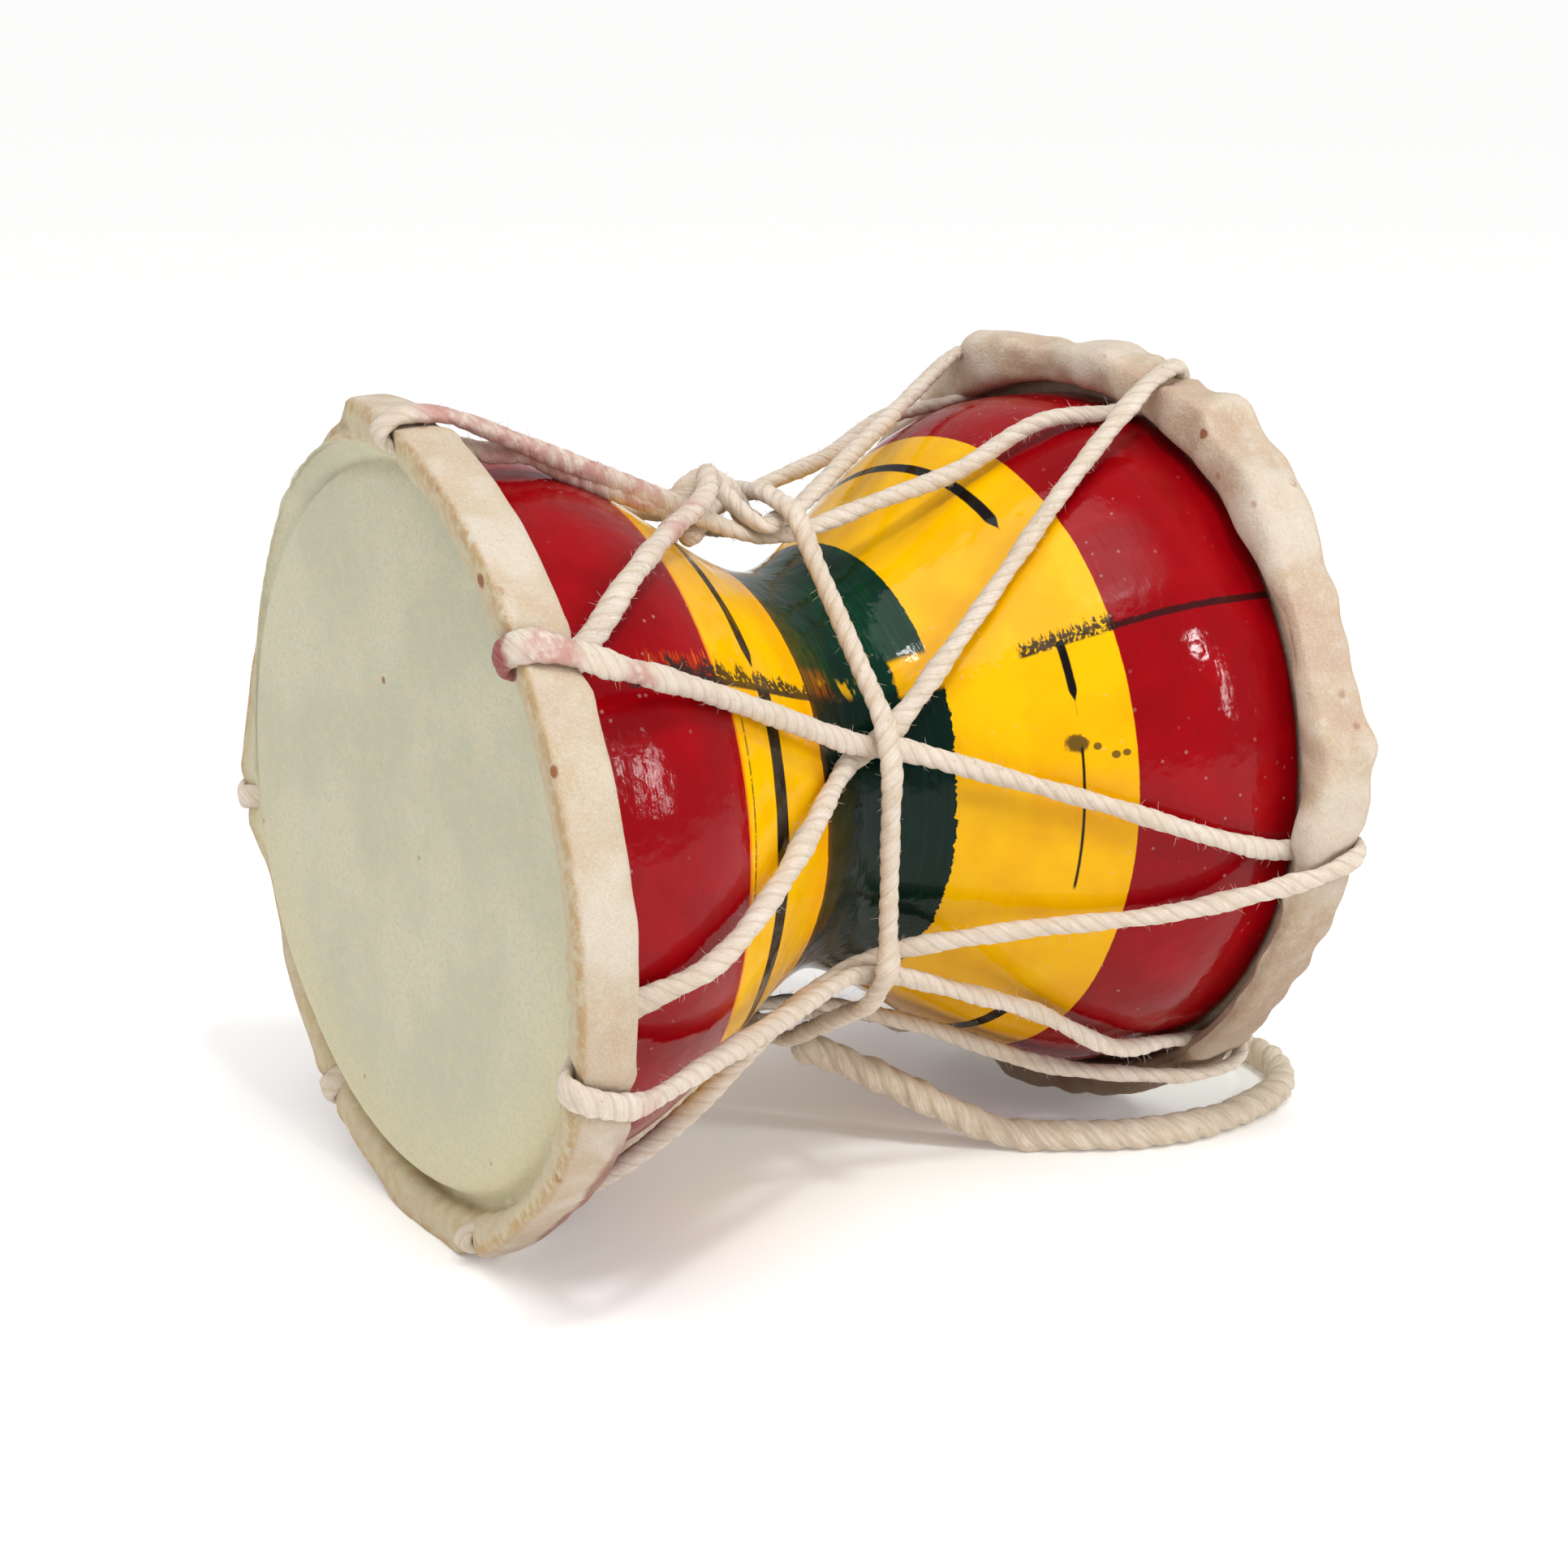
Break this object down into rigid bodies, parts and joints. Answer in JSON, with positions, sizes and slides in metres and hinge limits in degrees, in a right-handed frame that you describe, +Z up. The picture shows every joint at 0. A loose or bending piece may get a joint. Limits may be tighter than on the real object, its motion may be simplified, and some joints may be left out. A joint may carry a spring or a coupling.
{
  "type": "damaru drum",
  "caption": "Small hourglass hand drum lying on its two hoops, with painted wooden bells, laced skin heads, a bound waist and a loose striker cord.",
  "frame": {"origin": "centre of the drum's bounding box on the floor it lies on, measured without the striker cord and its knot", "axes": "+X along the drum's axis from the front head (at -X) to the back head, +Z up, -Y towards the viewer"},
  "size_m": [0.1603, 0.1226, 0.12],
  "materials": {
    "body": "glossy painted bands",
    "front_head": "matt raw skin",
    "back_head": "matt raw skin",
    "lacing": "soft twisted cotton",
    "waist_cord": "soft twisted cotton",
    "striker_cord": "soft twisted cotton",
    "striker_knot": "knotted cotton"
  },
  "bodies": {
    "root": {"body": "body", "front_head": "front_head", "back_head": "back_head", "lacing": "lacing", "waist_cord": "waist_cord", "striker_cord": "striker_cord", "striker_knot": "striker_knot"}
  },
  "joints": []
}
